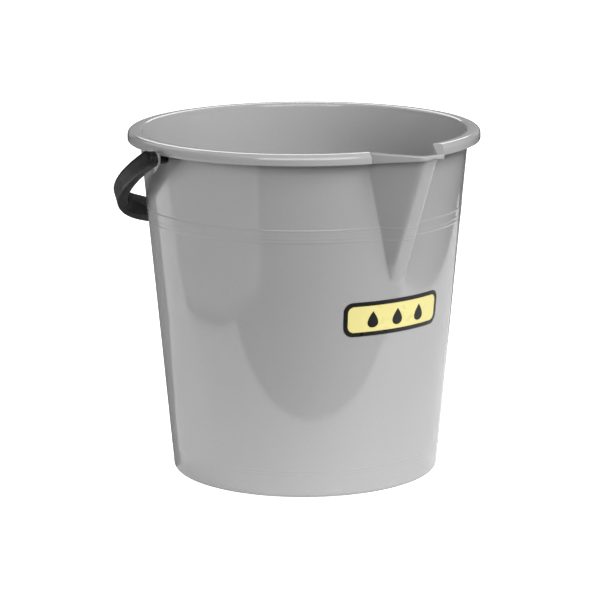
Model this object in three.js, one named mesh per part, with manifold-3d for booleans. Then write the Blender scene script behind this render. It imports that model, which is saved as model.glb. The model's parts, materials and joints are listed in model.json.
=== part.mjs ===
// A ten-litre plastic pouring bucket with a folding bail handle and a plain label.
// Millimetres, +Z up. The origin is the centre of the underside of the base. The spout points
// along -Y, the handle's pivot runs along X, and the handle is folded down at the back, +Y.
import * as THREE from "three";
import { mergeVertices } from "three/addons/utils/BufferGeometryUtils.js";
import Module from "manifold-3d";

// Bucket wall and base
const HEIGHT = 270.7;
const BASE_RADIUS = 104.3;
const WALL_TOP_RADIUS = 128.6; // outer face of the wall, extended to the full height
const WALL = 2;
const BASE_THICKNESS = 2.5;
const BASE_EDGE = 3; // rounding of the base's outer edge
const INNER_EDGE = 5; // rounding between the base and the wall, inside
const WALL_TOP_DROP = 4; // the wall ends this far below the rim's top, inside the rim
const EDGE_STEPS = 3; // facets in each rounding of the base
const INSIDE_LEVELS = 7; // rows of facets up the inside of the spout

// Moulded band round the wall
const BAND_LOW = 202;
const BAND_HIGH = 210.5;
const BAND_RAISE = 0.4;
const LEVELS_BELOW_BAND = 3; // rows of facets from the spout's tip to the band
const LEVELS_ABOVE_BAND = 4; // and from the band to the wall's top

// Rolled rim
const RIM_RADIUS = 137.5;
const SKIRT_DEPTH = 8.5;
const SKIRT = 2;
const RIM_LEG_DEPTH = 7;
const RIM_COVER = 0.3; // the rim's inner leg covers both faces of the wall by this much
const RIM_STEPS = 56;
// Radius and depth below the top of the crown's upper face, from its outer edge inwards
const CROWN_TOP = [
  [137.5, 4.4],
  [136.7, 1.9],
  [134.6, 0.5],
  [131.6, 0],
  [128.6, 0.5],
  [126.9, 1.8],
];
// The same for its lower face, from the inner leg outwards
const CROWN_UNDER = [
  [130.6, 2.2],
  [134, 2.4],
  [135.5, 4],
];

// Pouring spout: a straight, blunt nose that leans out of the wall, between two flat flanks
const SPOUT_TIP = 163; // where the spout starts on the wall
const SPOUT_LEAN = 0.312; // outward reach of its front, per millimetre above the tip
const SPOUT_WIDTH_AT_TIP = 5.4; // half width between the creases
const SPOUT_WIDENING = 0.265; // half width gained per millimetre of height
const SPOUT_FRONT = 6.6; // half width of its front, at most
const SPOUT_FRONT_SHARE = 0.62; // and at most this share of the half width between the creases
const SPOUT_SOFT = 1.2; // how far the corners beside its front are rounded back
const NOTCH_OVERLAP = THREE.MathUtils.degToRad(0.3);
const WEB = THREE.MathUtils.degToRad(0.9); // thickness of the plate closing each rim end
const WEB_CLEAR = THREE.MathUtils.degToRad(0.006); // keeps its face just inside the rim's end
const WEB_TOP = 3; // depth of its top below the rim's top
const WEB_RISE = 0.2; // height of its foot above the skirt's
const LIP = 1.6;
const LIP_DROP = 0.6; // the lip's ends are this far below the rim's top
const LIP_STEPS = 24;
const LIP_DIP = 0.9; // the lip's middle is this much lower again
const LIP_OUT = 3.4; // how far the lip stands out in front of the spout
const LIP_SET_BACK = 1; // the lip's ends stand this far inside the rim's skirt
const LIP_SKIRT_MIDDLE = 2.2;
const LIP_SKIRT_END = 7.9;

// Columns of the wall's mesh: the spout's own columns spread out with its width
const COLUMNS = 72;
const SPOUT_COLUMNS = 12;
const FREE_ANGLE = THREE.MathUtils.degToRad(55); // past this the columns are evenly spaced

// Ears and bail handle
const PIVOT_HEIGHT = 258.2;
const EAR_INNER = 136.6;
const EAR = 3.4;
const EAR_RADIUS = 5.4;
const EAR_TOP = 264;
const EAR_HOLE_RADIUS = 3.9;
const STUD_RADIUS = 3.6;
const STUD_END = 128;
const BAIL_HALF_WIDTH = 149; // outer half width of the bow, at the arms
const BAIL_REACH = 156; // outer reach of the bow beyond the straight arms
const ARM_STRAIGHT = 4; // straight length of each arm from the pivot
const ARM_PAST_PIVOT = 4; // and the length beyond it, to the middle of the arm's round end
const ARM_THICKNESS = 8;
const ARM_WIDTH = 13.4;
// Radial thickness and width of the bow at angles round it from the pivot, in degrees
const BOW_SECTION = [
  [0, ARM_THICKNESS, ARM_WIDTH],
  [18, 8.8, ARM_WIDTH],
  [31, 8.8, ARM_WIDTH],
  [54, 15.2, 14.6],
  [90, 18.2, 16],
];
const BAIL_CHAMFER = 1.2;
const SECTION_CORNER = 0.25; // marks the chamfered corners on a bar of unit section
const BAIL_STEPS = 44;
const FOLD = THREE.MathUtils.degToRad(28.2); // how far the handle hangs below level when folded
const ROUND_SIDES = 24;

// Label
const LABEL_LENGTH = 92;
const LABEL_HEIGHT = 27;
const LABEL_CORNER = 8;
const LABEL_CENTRE = 140.7;
const LABEL_ANGLE = THREE.MathUtils.degToRad(1.2);
const LABEL_THICKNESS = 0.6;
const LABEL_GAP = 0.3;
const LABEL_STEPS = 16;
const LABEL_CORNER_SIDES = 6;
const LABEL_SPARE = 6; // extra length and height of the sheet that the label is cut from

const WELD = 1e-4; // vertices closer than this are one

const wasm = await Module();
wasm.setup();

const wallRadius = (z) => BASE_RADIUS + ((WALL_TOP_RADIUS - BASE_RADIUS) * z) / HEIGHT;

// Half the spout's width at a height, as an angle about the bucket's axis. The rim cuts across it
// at right angles, so it stays the same from the foot of the skirt upwards.
function spoutAngle(height) {
  const z = Math.min(height, HEIGHT - SKIRT_DEPTH);
  const above = Math.max(0, z - SPOUT_TIP);
  return (SPOUT_WIDTH_AT_TIP + SPOUT_WIDENING * above) / wallRadius(z);
}

const NOTCH = spoutAngle(HEIGHT); // half the gap in the rim

// The radius of a nose's outline seen from above, at an angle: a front of a given half width, and
// flat flanks that run back from it to a given radius at the half angle
function noseOutline(angle, halfAngle, radius, front, frontHalf) {
  const side = Math.min(Math.abs(angle), halfAngle);
  const back = front - radius * Math.cos(halfAngle);
  const lean = Math.atan2(back, radius * Math.sin(halfAngle) - frontHalf);
  const flank = (radius * Math.cos(halfAngle - lean)) / Math.cos(side - lean);
  const nose = front / Math.cos(side);
  return (flank + nose - Math.hypot(flank - nose, 2 * SPOUT_SOFT)) / 2;
}

// How far the spout stands out from the round wall
function spoutReach(angle, z) {
  const half = spoutAngle(z);
  if (z <= SPOUT_TIP || Math.abs(angle) >= half) return 0;
  const wall = wallRadius(z);
  const front = wall + SPOUT_LEAN * (z - SPOUT_TIP);
  const frontHalf = Math.min(SPOUT_FRONT, SPOUT_FRONT_SHARE * wall * Math.sin(half));
  return Math.max(0, noseOutline(angle, half, wall, front, frontHalf) - wall);
}

// A geometry's shared vertices merged, with only their positions left
function welded(geometry) {
  const bare = geometry.clone();
  bare.deleteAttribute("normal");
  bare.deleteAttribute("uv");
  return mergeVertices(bare, WELD);
}

// Every vertex of a geometry moved by a function of its place
function reshaped(geometry, move) {
  const shape = welded(geometry);
  const position = shape.getAttribute("position");
  for (let i = 0; i < position.count; i++) {
    position.setXYZ(i, ...move(position.getX(i), position.getY(i), position.getZ(i)));
  }
  return shape;
}

// A section in radius and height, swept round the axis between two angles from the spout
function swept(section, from, to, steps, place) {
  const shape = new THREE.Shape(section.map(([r, z]) => new THREE.Vector2(r, z)));
  const bar = new THREE.ExtrudeGeometry(shape, { depth: 1, steps, bevelEnabled: false });
  return reshaped(bar, (x, y, t) => {
    const angle = from + (to - from) * t;
    const [r, z] = place(x, y, angle);
    return [r * Math.sin(angle), -r * Math.cos(angle), z];
  });
}

// A closed geometry as a solid, with its faces turned to point out
function solid(geometry) {
  const shape = welded(geometry);
  const vertProperties = shape.getAttribute("position").array;
  const triVerts = new Uint32Array(shape.index.array);
  const made = new wasm.Manifold(new wasm.Mesh({ numProp: 3, vertProperties, triVerts }));
  if (made.volume() >= 0) return made;
  for (let i = 0; i < triVerts.length; i += 3) {
    [triVerts[i + 1], triVerts[i + 2]] = [triVerts[i + 2], triVerts[i + 1]];
  }
  return new wasm.Manifold(new wasm.Mesh({ numProp: 3, vertProperties, triVerts }));
}

// A solid as a named mesh
function meshOf(name, made, material) {
  const { vertProperties, triVerts } = made.getMesh();
  const geometry = new THREE.BufferGeometry();
  geometry.setAttribute("position", new THREE.BufferAttribute(vertProperties, 3));
  geometry.setIndex(new THREE.BufferAttribute(triVerts, 1));
  geometry.computeVertexNormals();
  const mesh = new THREE.Mesh(geometry, material);
  mesh.name = name;
  return mesh;
}

// A round bar along X, from one place to another
function barAlongX(radius, from, to, y) {
  const bar = new THREE.CylinderGeometry(radius, radius, Math.abs(to - from), ROUND_SIDES);
  bar.rotateZ(Math.PI / 2);
  bar.translate((from + to) / 2, y, 0);
  return bar;
}

// Wall and base, in one closed profile turned about the axis, with the spout pushed out of it
function wallShell() {
  const profile = [[0, 0]];
  for (let i = 0; i <= EDGE_STEPS; i++) {
    const turn = (Math.PI / 2) * (i / EDGE_STEPS);
    const r = wallRadius(BASE_EDGE) - BASE_EDGE * (1 - Math.sin(turn));
    profile.push([r, BASE_EDGE * (1 - Math.cos(turn))]);
  }
  const top = HEIGHT - WALL_TOP_DROP;
  const face = (levels, from, to, raise) => {
    for (let i = 0; i <= levels; i++) {
      const z = from + ((to - from) * i) / levels;
      profile.push([wallRadius(z) + raise, z]);
    }
  };
  face(LEVELS_BELOW_BAND, SPOUT_TIP, BAND_LOW - BAND_RAISE, 0);
  face(1, BAND_LOW, BAND_HIGH, BAND_RAISE);
  face(LEVELS_ABOVE_BAND, BAND_HIGH + BAND_RAISE, top, 0);
  face(INSIDE_LEVELS, top, SPOUT_TIP, -WALL);
  for (let i = 0; i <= EDGE_STEPS; i++) {
    const turn = (Math.PI / 2) * (i / EDGE_STEPS);
    const floorEdge = wallRadius(BASE_THICKNESS + INNER_EDGE) - WALL - INNER_EDGE;
    const z = BASE_THICKNESS + INNER_EDGE * (1 - Math.sin(turn));
    profile.push([floorEdge + INNER_EDGE * Math.cos(turn), z]);
  }
  profile.push([0, BASE_THICKNESS]);

  const points = profile.map(([r, z]) => new THREE.Vector2(r, z));
  const lathe = new THREE.LatheGeometry(points, COLUMNS);
  const spoutShare = (Math.PI * SPOUT_COLUMNS) / COLUMNS;
  const freeShare = (Math.PI * Math.round((COLUMNS * FREE_ANGLE) / Math.PI)) / COLUMNS;
  return reshaped(lathe, (x, z, y) => {
    const r = Math.hypot(x, y);
    const even = Math.atan2(x, y);
    const edge = spoutAngle(z);
    const turn = Math.abs(even);
    let angle = turn;
    if (turn <= spoutShare) angle = (edge * turn) / spoutShare;
    else if (turn < freeShare) {
      angle = edge + ((freeShare - edge) * (turn - spoutShare)) / (freeShare - spoutShare);
    }
    angle *= Math.sign(even);
    const dip = z > HEIGHT - 2 * WALL_TOP_DROP ? lipDip(angle) : 0;
    const reach = r > BASE_RADIUS - WALL ? spoutReach(angle, z) : 0;
    return [(r + reach) * Math.sin(angle), -(r + reach) * Math.cos(angle), z - dip];
  });
}

// How far the lip sinks between its ends, most at its middle
function lipDip(angle) {
  const across = Math.min(1, Math.abs(angle) / NOTCH);
  return LIP_DIP * (1 - across ** 2);
}

// The rolled rim: an inner leg over the wall, a crown and an outer skirt
function rim() {
  const inner = (drop) => wallRadius(HEIGHT - drop) - WALL - RIM_COVER;
  const outer = (drop) => wallRadius(HEIGHT - drop) + RIM_COVER;
  const section = [
    [inner(RIM_LEG_DEPTH), RIM_LEG_DEPTH],
    [outer(RIM_LEG_DEPTH), RIM_LEG_DEPTH],
    [outer(WALL_TOP_DROP), WALL_TOP_DROP],
    ...CROWN_UNDER,
    [RIM_RADIUS - SKIRT, SKIRT_DEPTH],
    [RIM_RADIUS, SKIRT_DEPTH],
    ...CROWN_TOP,
  ];
  const raised = section.map(([r, drop]) => [r, HEIGHT - drop]);
  return swept(raised, NOTCH, 2 * Math.PI - NOTCH, RIM_STEPS, (r, z) => [r, z]);
}

// The small plate that closes the hollow of the rim where it stops beside the spout
function rimEnd(side) {
  const low = HEIGHT - SKIRT_DEPTH + WEB_RISE;
  const top = HEIGHT - WEB_TOP;
  const section = [
    [wallRadius(low) - WALL / 2, low],
    [RIM_RADIUS - SKIRT / 2, low],
    [RIM_RADIUS - SKIRT / 2, top],
    [wallRadius(low) - WALL / 2, top],
  ];
  const near = side * (NOTCH + WEB_CLEAR);
  const far = side * (NOTCH + WEB);
  return swept(section, Math.min(near, far), Math.max(near, far), 1, (r, z) => [r, z]);
}

// The spout's lip: a flange standing out all round the spout with a skirt below its edge
function lip() {
  const section = [
    [0, 0],
    [0, -1],
    [1, -1],
    [1, -2],
    [2, -2],
    [2, 0],
  ];
  const end = NOTCH + NOTCH_OVERLAP;
  return swept(section, -end, end, LIP_STEPS, (x, y, angle) => {
    const across = Math.min(1, Math.abs(angle) / NOTCH);
    const top = HEIGHT - LIP_DROP - lipDip(angle);
    const wall = wallRadius(HEIGHT) + spoutReach(angle, HEIGHT - LIP_DIP);
    const front = wallRadius(HEIGHT) + spoutReach(0, HEIGHT - LIP_DIP) + LIP_OUT;
    const edge = noseOutline(angle, NOTCH, RIM_RADIUS - LIP_SET_BACK, front, SPOUT_FRONT + LIP_OUT);
    const skirt = THREE.MathUtils.lerp(LIP_SKIRT_MIDDLE, LIP_SKIRT_END, across);
    const r = [wall - WALL - RIM_COVER, edge - SKIRT, edge][x];
    return [r, top - [0, LIP, skirt][-y]];
  });
}

// An ear hanging from the skirt, with the hole that the handle's stud turns in
function ear(side) {
  const outline = new THREE.Shape();
  outline.moveTo(-EAR_RADIUS, EAR_TOP - PIVOT_HEIGHT);
  outline.lineTo(-EAR_RADIUS, 0);
  outline.absarc(0, 0, EAR_RADIUS, Math.PI, 2 * Math.PI, false);
  outline.lineTo(EAR_RADIUS, EAR_TOP - PIVOT_HEIGHT);
  const hole = new THREE.Path();
  hole.absarc(0, 0, EAR_HOLE_RADIUS, 0, 2 * Math.PI, true);
  outline.holes.push(hole);
  const plate = new THREE.ExtrudeGeometry(outline, {
    depth: EAR,
    bevelEnabled: false,
    curveSegments: ROUND_SIDES,
  });
  plate.rotateX(Math.PI / 2);
  plate.rotateZ(Math.PI / 2);
  plate.translate(side > 0 ? EAR_INNER : -EAR_INNER - EAR, 0, PIVOT_HEIGHT);
  return plate;
}

function bucketBody() {
  let body = solid(wallShell()).add(solid(rim())).add(solid(lip()));
  for (const side of [-1, 1]) body = body.add(solid(rimEnd(side))).add(solid(ear(side)));
  return body;
}

// The bow's thickness and width at an angle from the pivot, eased between the listed sections
function bowSection(angle) {
  const next = BOW_SECTION.findIndex(([end], i) => i > 0 && angle <= end + 1e-6);
  const [[from, ...before], [to, ...after]] = BOW_SECTION.slice(next - 1, next + 1);
  const share = THREE.MathUtils.smoothstep(angle, from, to);
  return before.map((size, i) => THREE.MathUtils.lerp(size, after[i], share));
}

// The handle: two straight arms and a half-round bow that deepens inwards at the grip
function bailHandle() {
  const cut = SECTION_CORNER;
  const section = [
    [cut, 0],
    [1 - cut, 0],
    [1, cut],
    [1, 1 - cut],
    [1 - cut, 1],
    [cut, 1],
    [0, 1 - cut],
    [0, cut],
  ];
  const between = (share, low, high) => {
    if (share === 0) return low;
    if (share === 1) return high;
    return share < 0.5 ? low + BAIL_CHAMFER : high - BAIL_CHAMFER;
  };
  const shape = new THREE.Shape(section.map(([u, w]) => new THREE.Vector2(u, w)));
  const bar = new THREE.ExtrudeGeometry(shape, {
    depth: 1,
    steps: BAIL_STEPS,
    bevelEnabled: false,
  });
  const bow = (Math.PI * (BAIL_HALF_WIDTH + BAIL_REACH)) / 2;
  const arm = ARM_PAST_PIVOT + ARM_STRAIGHT;
  const total = bow + 2 * arm;
  const bowed = reshaped(bar, (u, w, t) => {
    const along = t * total;
    const turn = THREE.MathUtils.clamp((along - arm) / bow, 0, 1) * Math.PI;
    const fromArm = Math.min(turn, Math.PI - turn);
    const [thick, width] = bowSection(THREE.MathUtils.radToDeg(fromArm));
    const half = between(u, BAIL_HALF_WIDTH - thick, BAIL_HALF_WIDTH);
    const reach = half + BAIL_REACH - BAIL_HALF_WIDTH;
    const out = between(w, -width / 2, width / 2);
    const straight = Math.min(along, total - along, arm) - ARM_PAST_PIVOT;
    return [-half * Math.cos(turn), straight + reach * Math.sin(turn), out];
  });
  let handle = solid(bowed);
  for (const side of [-1, 1]) {
    const inner = side * (BAIL_HALF_WIDTH - ARM_THICKNESS);
    const outer = side * BAIL_HALF_WIDTH;
    handle = handle.add(solid(barAlongX(ARM_WIDTH / 2, inner, outer, -ARM_PAST_PIVOT)));
    const into = (inner + outer) / 2;
    handle = handle.add(solid(barAlongX(STUD_RADIUS, side * STUD_END, into, 0)));
  }
  return handle;
}

// The label: a thin curved plate just clear of the wall, cut to a rounded outline
function label() {
  const half = (LABEL_LENGTH + LABEL_SPARE) / 2 / wallRadius(LABEL_CENTRE);
  const low = LABEL_CENTRE - (LABEL_HEIGHT + LABEL_SPARE) / 2;
  const high = LABEL_CENTRE + (LABEL_HEIGHT + LABEL_SPARE) / 2;
  const section = [
    [0, low],
    [1, low],
    [1, high],
    [0, high],
  ];
  const sheet = swept(section, -half, half, LABEL_STEPS, (x, z) => [
    wallRadius(z) + LABEL_GAP + LABEL_THICKNESS * x,
    z,
  ]);
  const chord = wallRadius(LABEL_CENTRE) * Math.sin(LABEL_LENGTH / 2 / wallRadius(LABEL_CENTRE));
  const [w, h, c] = [chord, LABEL_HEIGHT / 2, LABEL_CORNER];
  const outline = new THREE.Shape();
  outline.moveTo(-w + c, -h);
  outline.absarc(w - c, -h + c, c, -Math.PI / 2, 0, false);
  outline.absarc(w - c, h - c, c, 0, Math.PI / 2, false);
  outline.absarc(-w + c, h - c, c, Math.PI / 2, Math.PI, false);
  outline.absarc(-w + c, -h + c, c, Math.PI, 1.5 * Math.PI, false);
  const block = new THREE.ExtrudeGeometry(outline, {
    depth: RIM_RADIUS,
    bevelEnabled: false,
    curveSegments: LABEL_CORNER_SIDES,
  });
  block.rotateX(Math.PI / 2);
  block.translate(0, 0, LABEL_CENTRE);
  return solid(sheet).intersect(solid(block));
}

const bucket = new THREE.Group();

const greyPlastic = new THREE.MeshStandardMaterial({
  color: new THREE.Color(0.42, 0.44, 0.46),
  roughness: 0.32,
  metalness: 0.0,
});
bucket.add(meshOf("bucket_body", bucketBody(), greyPlastic));

const blackPlastic = new THREE.MeshStandardMaterial({
  color: new THREE.Color(0.02, 0.02, 0.022),
  roughness: 0.45,
  metalness: 0.0,
});
const handle = meshOf("bail_handle", bailHandle(), blackPlastic);
handle.position.z = PIVOT_HEIGHT;
handle.rotation.x = -FOLD;
bucket.add(handle);

const yellowFilm = new THREE.MeshStandardMaterial({
  color: new THREE.Color(0.95, 0.85, 0.22),
  roughness: 0.4,
  metalness: 0.0,
});
const sticker = meshOf("label", label(), yellowFilm);
sticker.rotation.z = LABEL_ANGLE;
bucket.add(sticker);

export default bucket;
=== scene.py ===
import json
import math

import bmesh
import bpy
from mathutils import Matrix, Vector


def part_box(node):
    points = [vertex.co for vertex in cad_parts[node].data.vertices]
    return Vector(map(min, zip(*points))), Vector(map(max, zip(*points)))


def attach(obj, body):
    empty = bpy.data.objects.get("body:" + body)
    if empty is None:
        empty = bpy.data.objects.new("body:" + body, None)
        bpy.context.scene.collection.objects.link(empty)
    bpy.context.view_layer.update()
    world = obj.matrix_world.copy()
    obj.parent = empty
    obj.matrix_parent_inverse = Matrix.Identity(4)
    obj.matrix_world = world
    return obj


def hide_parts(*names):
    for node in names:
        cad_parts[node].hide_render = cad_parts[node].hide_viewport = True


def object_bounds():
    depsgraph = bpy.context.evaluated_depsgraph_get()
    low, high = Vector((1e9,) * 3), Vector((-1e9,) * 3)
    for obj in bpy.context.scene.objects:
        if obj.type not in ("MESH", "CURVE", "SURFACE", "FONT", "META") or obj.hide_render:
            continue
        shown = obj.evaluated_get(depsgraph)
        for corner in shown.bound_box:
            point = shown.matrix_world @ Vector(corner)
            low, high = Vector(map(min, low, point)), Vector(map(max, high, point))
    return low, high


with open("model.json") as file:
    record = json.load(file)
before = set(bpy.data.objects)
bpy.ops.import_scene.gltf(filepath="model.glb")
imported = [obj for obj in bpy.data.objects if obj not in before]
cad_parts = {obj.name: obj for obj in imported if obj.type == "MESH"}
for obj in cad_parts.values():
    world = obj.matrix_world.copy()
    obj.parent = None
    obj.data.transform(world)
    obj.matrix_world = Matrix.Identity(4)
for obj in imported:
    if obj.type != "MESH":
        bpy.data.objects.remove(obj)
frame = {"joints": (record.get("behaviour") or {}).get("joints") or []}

MM = 0.001
CAD_LOW, CAD_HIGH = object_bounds()
scene = bpy.context.scene

# ---------------------------------------------------------------- sizes, in millimetres
BODY_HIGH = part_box("bucket_body")[1] / MM
BAIL_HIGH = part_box("bail_handle")[1] / MM
LABEL_LOW, LABEL_HIGH = (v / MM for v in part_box("label"))
PIVOT = Vector(frame["joints"][0]["pos_m"]) / MM

HEIGHT = BODY_HIGH.z
RIM_R = BODY_HIGH.y
EAR_OUT = BODY_HIGH.x
BASE_R = 104.3
WALL_TOP_R = 128.6  # outer face of the wall, extended to the full height
WALL = 2.0
FLOOR_TOP = 3.1
INNER_EDGE = 5.5  # rounding between the floor and the wall, inside
INSIDE_HEIGHTS = [263.0, 260.5, 257, 254, *range(250, 217, -4), *range(213, 187, -5), *range(184, 167, -4),
                  165, 162.5, 160, 152, *range(140, 39, -20), 25, 14, 9.5]

# The rolled rim, and the rounding of its ends beside the spout
SKIRT_DEPTH = 8.5
SKIRT = 2.0
CROWN_DEEP = 4.7
CROWN_MID_R = 131.9  # the top of the crown
CROWN_SQUARE = 0.82  # below 1, the outer rounding is squarer than an ellipse
INNER_DEEP = 3.0
INNER_SQUARE = 0.62
END_ROUND = 1.0
WEB = 2.06  # thickness of the plate that closes each end

# The spout, a blunt nose between flat flanks, and its lip
SPOUT_TIP = 163.0
SPOUT_LEAN = 0.312
SPOUT_TIP_HALF = 5.4
SPOUT_WIDENING = 0.265
SPOUT_FRONT = 6.6
SPOUT_FRONT_SHARE = 0.62
SPOUT_SOFT = 1.2
TIP_ROUND = 3.0
CREASE_SOFT = 0.5
LIP_DROP = 0.6
LIP_DIP = 0.9
LIP_OUT = 3.4
LIP_SET_BACK = 1.0
LIP_SKIRT_MIDDLE = 2.2
LIP_SKIRT_END = 7.9
LIP_CORNER = 1.0

# The bail handle, drawn flat and then folded down
BAIL_HALF = BAIL_HIGH.x
BAIL_REACH = 156.0
ARM_STRAIGHT = 4.0
ARM_PAST_PIVOT = 4.0
FOLD = math.radians(28.2)
BOW_STEPS = 240
# degrees round the bow from the arm, thickness and width
BOW_SECTION = [(0, 8.0, 13.4), (18, 8.8, 13.4), (31, 8.8, 13.4), (54, 15.2, 14.6), (90, 18.2, 16.0)]

STUD_R = 3.55
STUD_HEAD_R = 5.4
# distance from the middle of the bucket and radius, from the stud's inner end to its head
STUD_PROFILE = [(128.3, 0.0), (128.3, 2.5), (128.5, 2.95), (129.0, STUD_R - 0.1), (129.5, STUD_R),
                (133.0, STUD_R), (135.6, STUD_R), (140.4, STUD_R), (140.45, 5.0), (140.65, 5.3),
                (140.9, STUD_HEAD_R), (142.6, STUD_HEAD_R), (142.6, 0.0)]

EAR_THICK = 3.4
EAR_R = 5.4
EAR_HOLE = 3.9
EAR_TOP = 264.0 - PIVOT.z
EAR_SOFT = 0.45  # rounding of its edges

LABEL_LEN, LABEL_TALL = 92.0, LABEL_HIGH.z - LABEL_LOW.z
LABEL_Z = (LABEL_HIGH.z + LABEL_LOW.z) / 2
LABEL_TURN = math.radians(1.2)
DROP_PLACES = (-22.0, 0.0, 22.0)
DROP_SIZE = 6.4


def lerp(a, b, t):
    return a + (b - a) * t


def smooth(t):
    t = min(1.0, max(0.0, t))
    return t * t * (3 - 2 * t)


def wall_radius(z):
    return BASE_R + (WALL_TOP_R - BASE_R) * z / HEIGHT


# ---------------------------------------------------------------- the bucket's moulding
def spout_angle(z):
    """Half the spout's width at a height, as an angle about the axis. It stays the same through the rim."""
    z = min(max(z, SPOUT_TIP), HEIGHT - SKIRT_DEPTH)
    return (SPOUT_TIP_HALF + SPOUT_WIDENING * (z - SPOUT_TIP)) / wall_radius(z)


NOTCH = spout_angle(HEIGHT)


def nose_outline(angle, half, radius, front, front_half, soft=SPOUT_SOFT):
    """The radius of a nose's outline seen from above: a blunt front, and flat flanks that run back from it
    to a given radius at the half angle."""
    side = abs(angle)
    lean = math.atan2(front - radius * math.cos(half), radius * math.sin(half) - front_half)
    flank = radius * math.cos(half - lean) / math.cos(side - lean)
    nose = front / math.cos(side)
    return (flank + nose - math.hypot(flank - nose, 2 * soft)) / 2


def spout_reach(s, z):
    """How far the spout stands out from the wall, at a share s of its half width. Its creases are soft."""
    past = abs(s) - 1.0
    if z <= SPOUT_TIP - 1 or past > 0.2:
        return 0.0
    z = min(z, HEIGHT - LIP_DIP)
    half, wall = spout_angle(z), wall_radius(z)
    up = max(0.0, z - SPOUT_TIP)
    front_half = min(SPOUT_FRONT, SPOUT_FRONT_SHARE * wall * math.sin(half))
    out = nose_outline(s * half, half, wall, wall + SPOUT_LEAN * up, front_half) - wall
    tip = 2.0 * SPOUT_LEAN * (z - SPOUT_TIP - TIP_ROUND * s * s)
    out = min(out, tip)
    soft = CREASE_SOFT * smooth(up / 12 + 0.35)
    out = 0.5 * (out + math.hypot(out, soft))
    return out * (1 - smooth(past / 0.2))


def ring(z, at, width, rise):
    return rise * math.exp(-(((z - at) / width) ** 2))


def wall_relief(z):
    """The moulded band and its fine rings, and the fainter ring above the base."""
    band = 0.14 * (smooth((z - 201.4) / 0.9) - smooth((z - 210.6) / 0.9))
    rings = ring(z, 211.2, 0.5, 0.2) + ring(z, 204.8, 0.45, 0.09) + ring(z, 201.8, 0.5, 0.16)
    return band + rings + ring(z, 21.0, 0.5, 0.12) + ring(z, 18.6, 0.5, 0.08)


def arc(cx, cz, rx, rz, start, end, count):
    """Points on an ellipse's arc, angles in degrees."""
    out = []
    for i in range(count + 1):
        a = math.radians(lerp(start, end, i / count))
        out.append((cx + rx * math.cos(a), cz + rz * math.sin(a)))
    return out


def stepped(start, stop, step):
    """Heights from start, a step apart, below stop."""
    out = []
    while start < stop:
        out.append(start)
        start += step
    return out


def lower_outside():
    """(radius, height) from the middle of the underside, out to the foot ring and up to the spout's tip."""
    pts = [(2.2, 0.75), (3.0, 1.0), (30, 1.1), (62, 1.1), (64.5, 0.9), (66, 0.55), (67.5, 0.9), (70, 1.1)]
    pts += [(88, 1.1), (89.6, 0.9), (90.6, 0.3), (92, 0.04), (95, 0.0), (99, 0.0)]
    edge_r = wall_radius(3.2) - 3.2
    pts += arc(edge_r, 3.2, 3.2, 3.2, -90, -4, 9)
    for z in stepped(5.0, 17, 4.0):
        pts.append((wall_radius(z), z))
    for z in stepped(17.0, 23, 0.35):
        pts.append((wall_radius(z) + wall_relief(z), z))
    for z in (26, 34, 50, 70, 90, 110, 125, 135, 142, 148, 153, 157):
        pts.append((wall_radius(z), z))
    return pts


def heights_outside():
    """Heights of the wall's rows from the spout's tip up, close together at the tip and across the band."""
    zs = [160, 161, 162, 162.5, 163, 163.5, 164, 164.6, 165.2, 166, 167, 168.2, 169.5, 171]
    zs += [*range(173, 198, 3), 199]
    zs += stepped(200.2, 213.2, 0.3)
    return zs + [*range(215, 258, 3), 259.5, 261.2]


def rim_section(fill, inset):
    """The rolled rim from under its crown, round the skirt and over to the inner wall. fill closes the
    hollow beneath it, and inset rounds the section off where the rim stops beside the spout."""
    out = []
    wall = wall_radius(HEIGHT - 5)
    roof = lerp(2.4, SKIRT_DEPTH - 0.25 - inset, fill)
    low = SKIRT_DEPTH - inset
    skirt_in = RIM_R - SKIRT - 0.2 * inset
    skirt_out = RIM_R - inset
    out += [(wall + 0.05, lerp(6.2, roof + 0.9, fill)), (wall + 0.35, roof + 1.0), (wall + 1.0, roof + 0.4)]
    out += [(lerp(wall, skirt_in, 0.35), roof), (lerp(wall, skirt_in, 0.65), roof)]
    out.append((skirt_in - 1.0, roof + 0.12 * (1 - fill)))
    out.append((skirt_in - 0.3, lerp(roof + 0.6, roof + 0.03, fill)))
    out.append((skirt_in, lerp(roof + 1.5, low - 0.22, fill)))
    out.append((skirt_in + 0.02, low - 0.5 * (1 - fill) - 0.2 * fill))
    mid = (skirt_in + skirt_out) / 2
    half = (skirt_out - skirt_in) / 2
    out += [(mid - half * 0.75, low - 0.12), (mid, low), (mid + half * 0.75, low - 0.14)]
    out += [(skirt_out - 0.04, low - 0.5), (skirt_out, low - 1.0)]
    out += [(skirt_out, lerp(low, CROWN_DEEP + inset, 0.5)), (skirt_out, CROWN_DEEP + inset)]
    for i in range(1, 12):
        a = math.radians(90 * i / 12)
        out.append((CROWN_MID_R + (skirt_out - CROWN_MID_R) * math.cos(a) ** CROWN_SQUARE,
                    inset + CROWN_DEEP * (1 - math.sin(a) ** CROWN_SQUARE)))
    inner = wall_radius(HEIGHT - 4) - WALL
    for i in range(0, 10):
        a = math.radians(90 * i / 10)
        r = CROWN_MID_R - (CROWN_MID_R - inner - 0.1) * math.sin(a) ** INNER_SQUARE
        out.append((r, inset + INNER_DEEP * (1 - math.cos(a) ** INNER_SQUARE)))
    out.append((inner - 0.02, 5.4 + inset * 0.4))
    return [(r, HEIGHT - drop) for r, drop in out]


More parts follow.
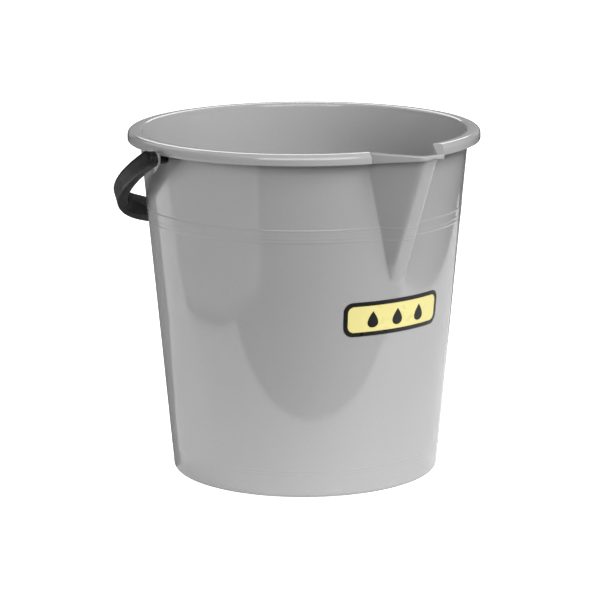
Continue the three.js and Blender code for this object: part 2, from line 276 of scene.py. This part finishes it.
def lip_section(s):
    """The spout's lip, matched point for point with the rim's section."""
    across = min(1.0, abs(s))
    z = HEIGHT - LIP_DROP - LIP_DIP * (1 - across ** 2)
    wall = wall_radius(HEIGHT - 5) + spout_reach(s, HEIGHT)
    front = wall_radius(HEIGHT - 5) + spout_reach(0, HEIGHT) + LIP_OUT
    edge = nose_outline(s * NOTCH, NOTCH, RIM_R - LIP_SET_BACK, front, SPOUT_FRONT + LIP_OUT, LIP_CORNER)
    skirt = lerp(LIP_SKIRT_MIDDLE, LIP_SKIRT_END, across)
    thick = lerp(1.5, SKIRT, across)
    skirt_in = edge - thick
    inner = wall - WALL
    roof = min(1.9, skirt - 0.6)
    out = [(wall, roof + lerp(1.6, 4.0, across)), (wall + 0.1, roof + 0.9), (wall + 0.4, roof + 0.25)]
    out += [(lerp(wall, skirt_in, 0.4), roof), (lerp(wall, skirt_in, 0.65), roof)]
    out += [(lerp(wall, skirt_in, 0.88), roof + 0.04), (lerp(wall, skirt_in, 0.97), roof + 0.14)]
    out += [(skirt_in, lerp(roof + 0.2, skirt, 0.4)), (skirt_in + 0.01, skirt - 0.3)]
    mid = (skirt_in + edge) / 2
    half = (edge - skirt_in) / 2
    out += [(mid - half * 0.75, skirt - 0.1), (mid, skirt), (mid + half * 0.75, skirt - 0.14)]
    out.append((edge - 0.05, skirt - 0.45))
    out += [(edge, lerp(skirt, 0.9, 0.35)), (edge, lerp(skirt, 0.9, 0.7)), (edge, 0.95)]
    for i in range(1, 12):
        a = math.radians(90 * i / 12)
        out.append((edge - 0.9 + 0.9 * math.cos(a), 0.9 - 0.9 * math.sin(a)))
    for i in range(0, 10):
        t = i / 9
        if t < 0.55:
            out.append((lerp(edge - 0.9, inner + 0.9, t / 0.55), 0.0))
        else:
            a = math.radians(90 * (t - 0.55) / 0.45)
            out.append((inner + 0.9 - 0.9 * math.sin(a), 0.9 - 0.9 * math.cos(a)))
    out.append((inner, 4.8))
    return [(r, z - drop) for r, drop in out]


def columns():
    """The mesh's columns as (s, turn, zone): s is the place across the spout, and turn the angle past its
    crease. They go once round from the back, by way of the spout's middle."""
    spout = [math.sin(math.radians(90 * i / 26)) for i in range(27)]
    spout = sorted(set([round(0.62 * v + 0.38 * i / 26, 6) for i, v in enumerate(spout)]))
    half = [(s, 0.0, "lip") for s in spout]
    along_rim = [0.0, 0.06, 0.15, 0.3, 0.5, 0.75, 1.05, 1.4, 1.9, 2.05, 2.12]
    along_rim += [3.0, 4.2, 5.8, 7.8, 10.0, 12.6, 15.4, 18.4]
    past = [(1.0, d / RIM_R, "rim") for d in along_rim]
    start = past[-1][1]
    left = math.pi - NOTCH - start
    count = 150
    past += [(1.0, start + left * i / count, "rim") for i in range(1, count + 1)]
    right = half + past
    mirrored = [(-s, -t, zone) for s, t, zone in right[1:-1]][::-1]
    return mirrored + right


def column_profile(s, turn, zone):
    """(angle, radius, height) of each profile point in one column of the bucket's mesh."""
    pts = []

    def place(r, z, moved=True):
        a = spout_angle(z)
        if zone == "lip":
            angle = s * a
        else:
            angle = math.copysign(a + abs(turn) * (math.pi - a) / (math.pi - NOTCH), s)
        across = angle / a
        reach = spout_reach(across, z) if moved and z > SPOUT_TIP else 0.0
        pts.append((angle, r + reach, z))

    for r, z in lower_outside():
        place(r, z)
    for z in heights_outside():
        place(wall_radius(z) + wall_relief(z), z)
    if zone == "lip":
        section = lip_section(s)
    else:
        along = abs(turn) * RIM_R
        inset = 0.0
        if along < END_ROUND:
            inset = END_ROUND - math.sqrt(max(0.0, END_ROUND ** 2 - (END_ROUND - along) ** 2))
        section = rim_section(1.0 if along < WEB else 0.0, inset * 0.75)
    for r, z in section:
        place(r, z, moved=False)
    for z in INSIDE_HEIGHTS:
        place(wall_radius(z) - WALL, z)
    edge = wall_radius(FLOOR_TOP + INNER_EDGE) - WALL - INNER_EDGE
    for r, z in arc(edge, FLOOR_TOP + INNER_EDGE, INNER_EDGE, INNER_EDGE, -4, -90, 8):
        place(r, z)
    for r, rise in [(88, 0), (70, 0), (66, 0.25), (62, 0), (30, 0), (6, 0), (2.5, -0.1)]:
        place(r, FLOOR_TOP + rise)
    return pts


def new_mesh(name, verts, faces, smooth_angle=38):
    mesh = bpy.data.meshes.new(name)
    mesh.from_pydata([tuple(c * MM for c in v) for v in verts], [], faces)
    mesh.validate()
    bm = bmesh.new()
    bm.from_mesh(mesh)
    bmesh.ops.remove_doubles(bm, verts=bm.verts, dist=1e-7)
    bmesh.ops.recalc_face_normals(bm, faces=bm.faces)
    bm.to_mesh(mesh)
    bm.free()
    for p in mesh.polygons:
        p.use_smooth = True
    mesh.set_sharp_from_angle(angle=math.radians(smooth_angle))
    o = bpy.data.objects.new(name, mesh)
    scene.collection.objects.link(o)
    return o


def bucket_mesh():
    """The body's wall, rim, lip, spout and base as one closed shell, column by column."""
    profiles = [column_profile(*column) for column in columns()]
    n, rows = len(profiles), len(profiles[0])
    verts = [(r * math.sin(angle), -r * math.cos(angle), z) for pts in profiles for angle, r, z in pts]
    faces = []
    for c in range(n):
        d = (c + 1) % n
        for k in range(rows - 1):
            faces.append((c * rows + k, d * rows + k, d * rows + k + 1, c * rows + k + 1))
    bottom, top = len(verts), len(verts) + 1
    verts += [(0, 0, 0.7), (0, 0, 2.95)]
    for c in range(n):
        d = (c + 1) % n
        faces.append((bottom, d * rows, c * rows))
        faces.append((top, c * rows + rows - 1, d * rows + rows - 1))
    return new_mesh("bucket_shell", verts, faces)


# ---------------------------------------------------------------- ears
def ear_outline(a, grow):
    """Distance from the pivot to the ear's outline, in a direction. Round below, straight-sided above."""
    c, s = math.cos(a), math.sin(a)
    half, top = EAR_R + grow, EAR_TOP + grow
    if s <= 0:
        return half
    side = half / abs(c) if abs(c) > 1e-9 else 1e9
    return min(side, top / s)


def ear_mesh(side):
    """One ear: a small plate with rounded edges and a round hole, hanging from the skirt."""
    count, soft = 72, EAR_SOFT
    x0, x1 = EAR_OUT - EAR_THICK, EAR_OUT
    verts, faces = [], []
    for i in range(count):
        a = 2 * math.pi * i / count
        loop = [(EAR_HOLE, x0 + soft), (EAR_HOLE + 0.15, x0 + 0.12), (EAR_HOLE + soft, x0)]
        for k in range(4):
            t = math.radians(90 * k / 3)
            loop.append((ear_outline(a, -soft) + soft * math.sin(t), x0 + soft - soft * math.cos(t)))
        for k in range(4):
            t = math.radians(90 * k / 3)
            loop.append((ear_outline(a, -soft) + soft * math.cos(t), x1 - soft + soft * math.sin(t)))
        loop += [(EAR_HOLE + soft, x1), (EAR_HOLE + 0.15, x1 - 0.12), (EAR_HOLE, x1 - soft)]
        rows = len(loop)
        for r, x in loop:
            verts.append((side * x, r * math.cos(a), PIVOT.z + r * math.sin(a)))
    for i in range(count):
        j = (i + 1) % count
        for k in range(rows):
            m = (k + 1) % rows
            faces.append((i * rows + k, j * rows + k, j * rows + m, i * rows + m))
    return new_mesh("ear_left" if side < 0 else "ear_right", verts, faces)


# ---------------------------------------------------------------- bail handle
def bow_section(angle):
    """The bow's thickness and width at an angle round it from the nearer arm, in degrees."""
    for (a0, t0, w0), (a1, t1, w1) in zip(BOW_SECTION, BOW_SECTION[1:]):
        if angle <= a1 + 1e-6:
            share = smooth((angle - a0) / (a1 - a0))
            return lerp(t0, t1, share), lerp(w0, w1, share)
    return BOW_SECTION[-1][1:]


def bail_loop(thick, width, bevel):
    """The bow's section: (inward depth from the outer face, height across the plane). The inner lower corner
    is cut off by bevel."""
    corner = min(1.5, thick * 0.35, width * 0.35)
    half = width / 2
    pts = []

    def rounded(cx, cy, r, start, steps=5):
        for i in range(steps + 1):
            a = math.radians(start + 90 * i / steps)
            pts.append((cx + r * math.cos(a), cy + r * math.sin(a)))

    rounded(corner, half - corner, corner, 90)
    pts.append((0.0, half * 0.45))
    pts.append((0.12, 0.0))
    pts.append((0.0, -half * 0.45))
    rounded(corner, -half + corner, corner, 180)
    pts.append((thick * 0.5, -half))
    b = max(bevel, corner)
    for i in range(8):
        t = i / 7
        a = math.radians(-90 + 90 * t)
        round_pt = (thick - corner + corner * math.cos(a), -half + corner + corner * math.sin(a))
        cut = (lerp(thick - b, thick, t), lerp(-half, -half + b * 0.8, t))
        k = 1.0 if b > corner * 1.6 else smooth((b / corner - 1) / 0.6)
        pts.append((lerp(round_pt[0], cut[0], k), lerp(round_pt[1], cut[1], k)))
    pts.append((thick, half * 0.1))
    rounded(thick - corner, half - corner, corner, 0)
    pts.append((thick * 0.5, half))
    return pts


def bail_mesh():
    """The handle, swept from one arm's rounded end round the bow to the other's."""
    verts, faces = [], []
    stations = []
    end = BOW_SECTION[0][2] / 2
    for i in range(13):
        t = math.radians(90 * i / 12)
        x = end * math.cos(t)
        stations.append((-ARM_PAST_PIVOT - x, 0.0, max(0.05, math.sin(t))))
    stations.append((0.0, 0.0, 1.0))
    for i in range(BOW_STEPS + 1):
        stations.append((ARM_STRAIGHT, math.pi * i / BOW_STEPS, 1.0))
    stations += [(s, math.pi, w) for s, _, w in stations[:14][::-1]]
    rows = None
    for straight, turn, narrow in stations:
        from_arm = math.degrees(min(turn, math.pi - turn))
        thick, width = bow_section(from_arm)
        grow = smooth((from_arm - 33) / 6) * (1 - smooth((from_arm - 42) / 26))
        bevel = 1.5 + 6.6 * grow
        ease = 1.2 * (1 - narrow)
        loop = bail_loop(thick - 2 * ease, width * narrow, bevel)
        rows = len(loop)
        for depth, across in loop:
            depth += ease
            half = BAIL_HALF - depth
            reach = BAIL_REACH - depth
            y = straight + reach * math.sin(turn)
            verts.append((-half * math.cos(turn), y, across))
    for c in range(len(stations) - 1):
        for k in range(rows):
            m = (k + 1) % rows
            faces.append((c * rows + k, (c + 1) * rows + k, (c + 1) * rows + m, c * rows + m))
    faces.append(tuple(range(rows)))
    last = (len(stations) - 1) * rows
    faces.append(tuple(last + k for k in range(rows))[::-1])
    turned = Matrix.Rotation(-FOLD, 3, "X")
    verts = [turned @ Vector(v) + PIVOT for v in verts]
    return new_mesh("bail_bow", verts, faces, 32)


def stud_mesh(side):
    """The stud that turns in the ear, with its shoulder against the arm and a chamfered inner end."""
    count = 48
    verts, faces = [], []
    for x, radius in STUD_PROFILE:
        for i in range(count):
            a = 2 * math.pi * i / count
            verts.append((side * x, radius * math.cos(a), PIVOT.z + radius * math.sin(a)))
    for k in range(len(STUD_PROFILE) - 1):
        for i in range(count):
            j = (i + 1) % count
            faces.append((k * count + i, k * count + j, (k + 1) * count + j, (k + 1) * count + i))
    return new_mesh("stud_left" if side < 0 else "stud_right", verts, faces, 35)


# ---------------------------------------------------------------- label
def rounded_outline(half_w, half_h, corner, steps=10):
    pts = []
    for cx, cy, start in ((1, -1, -90), (1, 1, 0), (-1, 1, 90), (-1, -1, 180)):
        for i in range(steps + 1):
            a = math.radians(start + 90 * i / steps)
            pts.append((cx * (half_w - corner) + corner * math.cos(a),
                        cy * (half_h - corner) + corner * math.sin(a)))
    return pts


def on_wall(u, v, lift):
    """A place on the label, u across and v up from its middle, lifted off the wall."""
    z = LABEL_Z + v
    angle = LABEL_TURN + u / wall_radius(LABEL_Z)
    r = wall_radius(z) + lift
    return (r * math.sin(angle), -r * math.cos(angle), z)


def film(name, outline, low, high, step=2.0):
    """A thin plate that follows the wall, cut into narrow strips inside a flat outline. Its vertices and
    faces are sorted, because the mesh tools leave them in a different order each time."""
    flat = bmesh.new()
    loop = [flat.verts.new((x, y, 0)) for x, y in outline]
    flat.faces.new(loop)
    xs = [p[0] for p in outline]
    cut = min(xs) + step
    while cut < max(xs):
        geom = list(flat.verts) + list(flat.edges) + list(flat.faces)
        bmesh.ops.bisect_plane(flat, geom=geom, plane_co=(cut, 0, 0), plane_no=(1, 0, 0), dist=1e-5)
        cut += step
    out = bmesh.ops.extrude_face_region(flat, geom=list(flat.faces))
    moved = [g for g in out["geom"] if isinstance(g, bmesh.types.BMVert)]
    for v in moved:
        v.co.z = 1.0
    order = sorted(flat.verts, key=lambda v: tuple(round(c, 4) for c in v.co))
    index = {v: i for i, v in enumerate(order)}
    verts = [on_wall(v.co.x, v.co.y, high if v.co.z > 0.5 else low) for v in order]
    faces = sorted(tuple(index[v] for v in f.verts) for f in flat.faces)
    flat.free()
    return new_mesh(name, verts, faces, 30)


def drop_outline(cx, cy, size, steps=28):
    """A plain drop: round below and pointed on top."""
    pts = []
    for i in range(steps):
        a = 2 * math.pi * i / steps
        x = size * math.sin(a) * (math.sin(a / 2) ** 1.35)
        pts.append((cx + x, cy + size * 1.02 * math.cos(a)))
    return pts


# ---------------------------------------------------------------- materials
class Nodes:
    """A short way to write a node material."""

    def __init__(self, name):
        self.material = bpy.data.materials.new(name)
        self.material.use_nodes = True
        self.tree = self.material.node_tree
        self.tree.nodes.clear()
        self.out = self.tree.nodes.new("ShaderNodeOutputMaterial")
        self.bsdf = self.tree.nodes.new("ShaderNodeBsdfPrincipled")
        self.tree.links.new(self.bsdf.outputs["BSDF"], self.out.inputs["Surface"])
        self.place = self.tree.nodes.new("ShaderNodeTexCoord").outputs["Object"]

    def add(self, kind, **sockets):
        node = self.tree.nodes.new(kind)
        for key, value in sockets.items():
            self.put(node, key, value)
        return node

    def put(self, node, key, value):
        socket = node.inputs[key]
        if isinstance(value, bpy.types.NodeSocket):
            self.tree.links.new(value, socket)
        else:
            socket.default_value = value

    def noise(self, scale, detail=4.0, rough=0.55, stretch=None):
        place = self.place
        if stretch:
            place = self.add("ShaderNodeMapping", Vector=self.place, Scale=stretch).outputs["Vector"]
        node = self.add("ShaderNodeTexNoise", Vector=place, Scale=scale, Detail=detail, Roughness=rough)
        return node.outputs["Fac"]

    def ramp(self, fac, low, high, start, end):
        node = self.tree.nodes.new("ShaderNodeMapRange")
        limits = {"From Min": low, "From Max": high, "To Min": start, "To Max": end}
        for key, value in {"Value": fac, **limits}.items():
            self.put(node, key, value)
        return node.outputs["Result"]

    def mix(self, fac, a, b):
        node = self.tree.nodes.new("ShaderNodeMix")
        node.data_type = "RGBA"
        self.put(node, 0, fac)
        for i, value in ((6, a), (7, b)):
            if isinstance(value, bpy.types.NodeSocket):
                self.tree.links.new(value, node.inputs[i])
            else:
                node.inputs[i].default_value = (*value, 1.0)
        return node.outputs[2]

    def math(self, op, a, b):
        node = self.tree.nodes.new("ShaderNodeMath")
        node.operation = op
        self.put(node, 0, a)
        self.put(node, 1, b)
        return node.outputs[0]

    def bump(self, height, strength, distance, normal=None):
        node = self.add("ShaderNodeBump", Height=height, Strength=strength, Distance=distance)
        if normal is not None:
            self.tree.links.new(normal, node.inputs["Normal"])
        return node.outputs["Normal"]


def grey_plastic():
    """Silver-grey polypropylene: fine pigment, faint flow marks, a soft gloss and light scuffs low down."""
    n = Nodes("grey_plastic")
    cloud = n.noise(7.0, 2.0, 0.5)
    flow = n.noise(16.0, 3.0, 0.5, stretch=(1.0, 1.0, 0.2))
    speck = n.noise(1500.0, 2.0, 0.6)
    base = n.mix(n.ramp(cloud, 0.3, 0.7, 0.0, 1.0), (0.290, 0.289, 0.290), (0.305, 0.302, 0.303))
    base = n.mix(n.ramp(flow, 0.42, 0.62, 0.0, 0.30), base, (0.287, 0.281, 0.285))
    base = n.mix(n.ramp(speck, 0.58, 0.75, 0.0, 0.28), base, (0.42, 0.42, 0.425))
    base = n.mix(n.ramp(speck, 0.42, 0.26, 0.0, 0.24), base, (0.19, 0.19, 0.192))
    height = n.add("ShaderNodeSeparateXYZ", Vector=n.place).outputs["Z"]
    low = n.ramp(height, 0.028, 0.002, 0.0, 1.0)
    scuff = n.noise(90.0, 5.0, 0.7, stretch=(1.0, 1.0, 6.0))
    scuffed = n.math("MULTIPLY", low, n.ramp(scuff, 0.56, 0.68, 0.0, 0.35))
    base = n.mix(scuffed, base, (0.37, 0.37, 0.37))
    n.put(n.bsdf, "Base Color", base)
    rough = n.ramp(n.noise(22.0, 3.0, 0.5), 0.3, 0.7, 0.06, 0.085)
    rough = n.math("ADD", rough, n.math("MULTIPLY", scuffed, 0.35))
    n.put(n.bsdf, "Roughness", rough)
    n.bsdf.inputs["IOR"].default_value = 1.5
    n.bsdf.inputs["Specular IOR Level"].default_value = 0.68
    fine = n.bump(n.noise(700.0, 3.0, 0.6), 0.08, 0.0002)
    peel = n.bump(n.noise(60.0, 2.0, 0.5), 0.04, 0.0008, fine)
    n.put(n.bsdf, "Normal", peel)
    return n.material


def black_plastic():
    """Black moulding with a fine spark-eroded grain, worn slightly smoother along its faces."""
    n = Nodes("black_plastic")
    cloud = n.noise(45.0, 4.0, 0.6)
    grain = n.noise(1500.0, 3.0, 0.65)
    base = n.mix(n.ramp(cloud, 0.3, 0.7, 0.0, 1.0), (0.006, 0.006, 0.007), (0.013, 0.013, 0.014))
    base = n.mix(n.ramp(grain, 0.58, 0.75, 0.0, 0.5), base, (0.035, 0.035, 0.037))
    n.put(n.bsdf, "Base Color", base)
    n.put(n.bsdf, "Roughness", n.ramp(n.noise(80.0, 4.0, 0.6), 0.3, 0.7, 0.26, 0.38))
    n.bsdf.inputs["IOR"].default_value = 1.5
    n.bsdf.inputs["Specular IOR Level"].default_value = 0.3
    rough = n.bump(grain, 0.35, 0.00025)
    n.put(n.bsdf, "Normal", n.bump(n.noise(260.0, 3.0, 0.6), 0.18, 0.0005, rough))
    return n.material


def printed_film(name, color, shade):
    """Printed label film with a fine dot pattern in the ink and a slightly uneven gloss."""
    n = Nodes(name)
    ink = n.noise(1800.0, 2.0, 0.5)
    patch = n.noise(60.0, 3.0, 0.5)
    base = n.mix(n.ramp(ink, 0.35, 0.7, 0.0, 0.5), color, shade)
    base = n.mix(n.ramp(patch, 0.3, 0.7, 0.0, 0.25), base, shade)
    n.put(n.bsdf, "Base Color", base)
    n.put(n.bsdf, "Roughness", n.ramp(n.noise(150.0, 3.0, 0.5), 0.3, 0.7, 0.26, 0.36))
    n.bsdf.inputs["Specular IOR Level"].default_value = 0.4
    n.put(n.bsdf, "Normal", n.bump(n.noise(500.0, 2.0, 0.5), 0.08, 0.0002))
    return n.material


# ---------------------------------------------------------------- the pieces
GREY, BLACK = grey_plastic(), black_plastic()
YELLOW = printed_film("label_yellow", (0.62, 0.565, 0.24), (0.58, 0.52, 0.20))
DARK = printed_film("label_dark", (0.008, 0.008, 0.007), (0.015, 0.014, 0.013))


def finish_piece(piece, material, body, node):
    piece.data.materials.append(material)
    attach(piece, body)
    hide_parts(node)


shell = bucket_mesh()
finish_piece(shell, GREY, "bucket", "bucket_body")
for side in (-1, 1):
    finish_piece(ear_mesh(side), GREY, "bucket", "bucket_body")
finish_piece(bail_mesh(), BLACK, "handle", "bail_handle")
for side in (-1, 1):
    finish_piece(stud_mesh(side), BLACK, "handle", "bail_handle")

half_len, half_tall = LABEL_LEN / 2, LABEL_TALL / 2
pieces = [
    (film("label_sheet", rounded_outline(half_len - 0.2, half_tall - 0.1, 7.5), 0.03, 0.28), DARK),
    (film("label_panel", rounded_outline(half_len - 3.6, half_tall - 3.4, 5.0), 0.10, 0.36), YELLOW),
]
for i, at in enumerate(DROP_PLACES):
    pieces.append((film(f"label_drop_{i + 1}", drop_outline(at, -0.6, DROP_SIZE), 0.20, 0.42, 1.5), DARK))
for piece, material in pieces:
    finish_piece(piece, material, "bucket", "label")

# ---------------------------------------------------------------- floor, light and camera
AIM = Vector((0, 0, HEIGHT * MM / 2))
VIEW_AZ, VIEW_EL = math.radians(-35.6), math.radians(12.18)
VIEW_ROLL = math.radians(-0.25)
VIEW_DISTANCE = 2.323
LENS, SENSOR = 176.6, 36
SHIFT_X, SHIFT_Y = -0.00782, -0.00643
AMBIENT = 0.004
BACKGROUND = 1.02
# name, azimuth from the camera's side, elevation, distance, width, height and power of each softbox
SOFTBOXES = [
    ("key_right", 58, 40, 1.9, 1.1, 1.1, 40),
    ("low_right", 42, 8, 1.9, 0.7, 0.4, 6),
    ("front", 2, 27, 2.2, 2.4, 1.2, 38),
    ("side_left", -88, 8, 1.8, 0.9, 0.5, 16),
    ("left_high", -118, 40, 2.0, 1.4, 1.1, 5),
    ("back", 180, 35, 1.9, 1.2, 0.9, 10),
    ("backdrop", 180, 13, 2.2, 2.6, 0.6, 1.7),
]
# These light the plastic but don't show in its gloss
MATT_LIGHTS = ("key_right", "low_right", "side_left")
# Outlines of the panels, as (towards the camera, to its right) from the bucket's axis, in metres
FLOOR = [(3 * math.cos(math.radians(3 * i)), 3 * math.sin(math.radians(3 * i))) for i in range(120)]
TABLE = [(0.30, -0.34), (0.245, 0.0), (0.235, 0.30), (0.16, 0.54), (-0.9, 0.60), (-0.8, 0.42), (-0.28, 0.13),
         (0.0, -0.06), (0.014, -0.118), (-0.075, -0.183), (-0.185, -0.30), (-0.273, -0.43), (-0.398, -0.543),
         (-0.60, -0.72), (-0.68, -0.80), (0.14, -0.43)]
LEFT_GLOW = [(0.014, -0.125), (-0.075, -0.19), (-0.185, -0.307), (-0.273, -0.437), (-0.398, -0.55),
             (-0.60, -0.73), (-0.70, -0.85), (-0.45, -1.2), (-0.15, -0.66), (0.08, -0.36), (0.09, -0.16),
             (0.05, -0.128)]
LEFT_SHADE = [(-0.28, 0.12), (0.0, -0.07), (0.012, -0.12), (-0.075, -0.185), (-0.185, -0.303),
              (-0.273, -0.433), (-0.398, -0.546), (-0.60, -0.725), (-1.5, -1.1), (-1.5, 0.40), (-0.8, 0.41)]
LEFT_CARD = [(0.335, -0.36), (0.47, -0.262), (0.75, -0.44), (1.0, -1.5), (-0.5, -1.5), (-0.3, -0.62),
             (0.16, -0.46)]
# name, outline, depth below the base, tone and glow, and whether the camera sees it
PANELS = [
    ("studio_floor", FLOOR, 0.0004, 0.75, 1.0, True),
    ("studio_table", TABLE, 0.0006, 0.82, 0.08, False),
    ("studio_left_glow", LEFT_GLOW, 0.0005, 0.75, 0.30, False),
    ("studio_left_shade", LEFT_SHADE, 0.0007, 0.10, 0.035, False),
    ("studio_left_card", LEFT_CARD, 0.0008, 0.45, 0.0, False),
]


def facing(azimuth, elevation):
    """The direction from the bucket's axis at an azimuth from -Y and an elevation."""
    level = math.cos(elevation)
    return Vector((math.sin(azimuth) * level, -math.cos(azimuth) * level, math.sin(elevation)))


def panel(name, outline, drop, tone, glow, seen):
    """A flat panel of the studio. The camera sees only the floor, and the bucket is lit by and reflects only
    the others."""
    forward = facing(VIEW_AZ, 0)
    right = Vector((-forward.y, forward.x, 0))
    mesh = bpy.data.meshes.new(name)
    verts = [forward * f + right * r for f, r in outline]
    mesh.from_pydata(verts, [], [tuple(range(len(verts)))])
    o = bpy.data.objects.new(name, mesh)
    o.location.z = CAD_LOW.z - drop
    o.visible_camera = seen
    o.visible_glossy = o.visible_diffuse = not seen
    o.visible_shadow = False
    scene.collection.objects.link(o)
    n = Nodes(name)
    mottle = n.noise(3.0, 3.0, 0.5)
    n.put(n.bsdf, "Base Color", n.mix(n.ramp(mottle, 0.3, 0.7, 0.0, 1.0), (tone,) * 3, (tone + 0.02,) * 3))
    n.bsdf.inputs["Roughness"].default_value = 0.9
    n.bsdf.inputs["Emission Color"].default_value = (1, 1, 1, 1)
    n.bsdf.inputs["Emission Strength"].default_value = glow
    o.data.materials.append(n.material)


def softbox(name, azimuth, elevation, distance, width, height, power):
    """A rectangular light that faces the middle of the bucket and that the camera doesn't see."""
    data = bpy.data.lights.new(name, "AREA")
    data.energy = power
    data.shape = "RECTANGLE"
    data.size, data.size_y = width, height
    away = facing(VIEW_AZ + math.radians(azimuth), math.radians(elevation))
    o = bpy.data.objects.new(name, data)
    o.location = AIM + away * distance
    o.rotation_euler = away.to_track_quat("Z", "Y").to_euler()
    o.visible_camera = False
    o.visible_glossy = name not in MATT_LIGHTS
    scene.collection.objects.link(o)


def surroundings():
    """A plain white background to the camera, and dim, even surroundings above the horizon as light."""
    world = bpy.data.worlds.new("studio")
    scene.world = world
    world.use_nodes = True
    tree = world.node_tree
    tree.nodes.clear()
    out = tree.nodes.new("ShaderNodeOutputWorld")
    mix = tree.nodes.new("ShaderNodeMixShader")
    seen = tree.nodes.new("ShaderNodeBackground")
    light = tree.nodes.new("ShaderNodeBackground")
    seen.inputs["Color"].default_value = (1, 1, 1, 1)
    seen.inputs["Strength"].default_value = BACKGROUND
    path = tree.nodes.new("ShaderNodeLightPath")
    place = tree.nodes.new("ShaderNodeTexCoord")
    split = tree.nodes.new("ShaderNodeSeparateXYZ")
    rise = tree.nodes.new("ShaderNodeMapRange")
    rise.inputs["From Min"].default_value = -0.02
    rise.inputs["From Max"].default_value = 0.10
    rise.inputs["To Min"].default_value = 0.0
    rise.inputs["To Max"].default_value = AMBIENT
    tree.links.new(place.outputs["Generated"], split.inputs[0])
    tree.links.new(split.outputs["Z"], rise.inputs["Value"])
    tree.links.new(rise.outputs["Result"], light.inputs["Strength"])
    tree.links.new(path.outputs["Is Camera Ray"], mix.inputs[0])
    tree.links.new(light.outputs[0], mix.inputs[1])
    tree.links.new(seen.outputs[0], mix.inputs[2])
    tree.links.new(mix.outputs[0], out.inputs["Surface"])


for row in PANELS:
    panel(*row)
for box in SOFTBOXES:
    softbox(*box)
surroundings()

cam_data = bpy.data.cameras.new("camera")
cam_data.sensor_width = SENSOR
cam_data.lens = LENS
cam_data.shift_x = SHIFT_X
cam_data.shift_y = SHIFT_Y
cam_data.clip_start, cam_data.clip_end = 0.05, 50
cam = bpy.data.objects.new("camera", cam_data)
scene.collection.objects.link(cam)
back = facing(VIEW_AZ, VIEW_EL)
turned = (-back).to_track_quat("-Z", "Y").to_matrix().to_4x4() @ Matrix.Rotation(VIEW_ROLL, 4, "Z")
cam.matrix_world = Matrix.Translation(AIM + back * VIEW_DISTANCE) @ turned
scene.camera = cam
scene.view_settings.view_transform = "Standard"
scene.view_settings.look = "None"
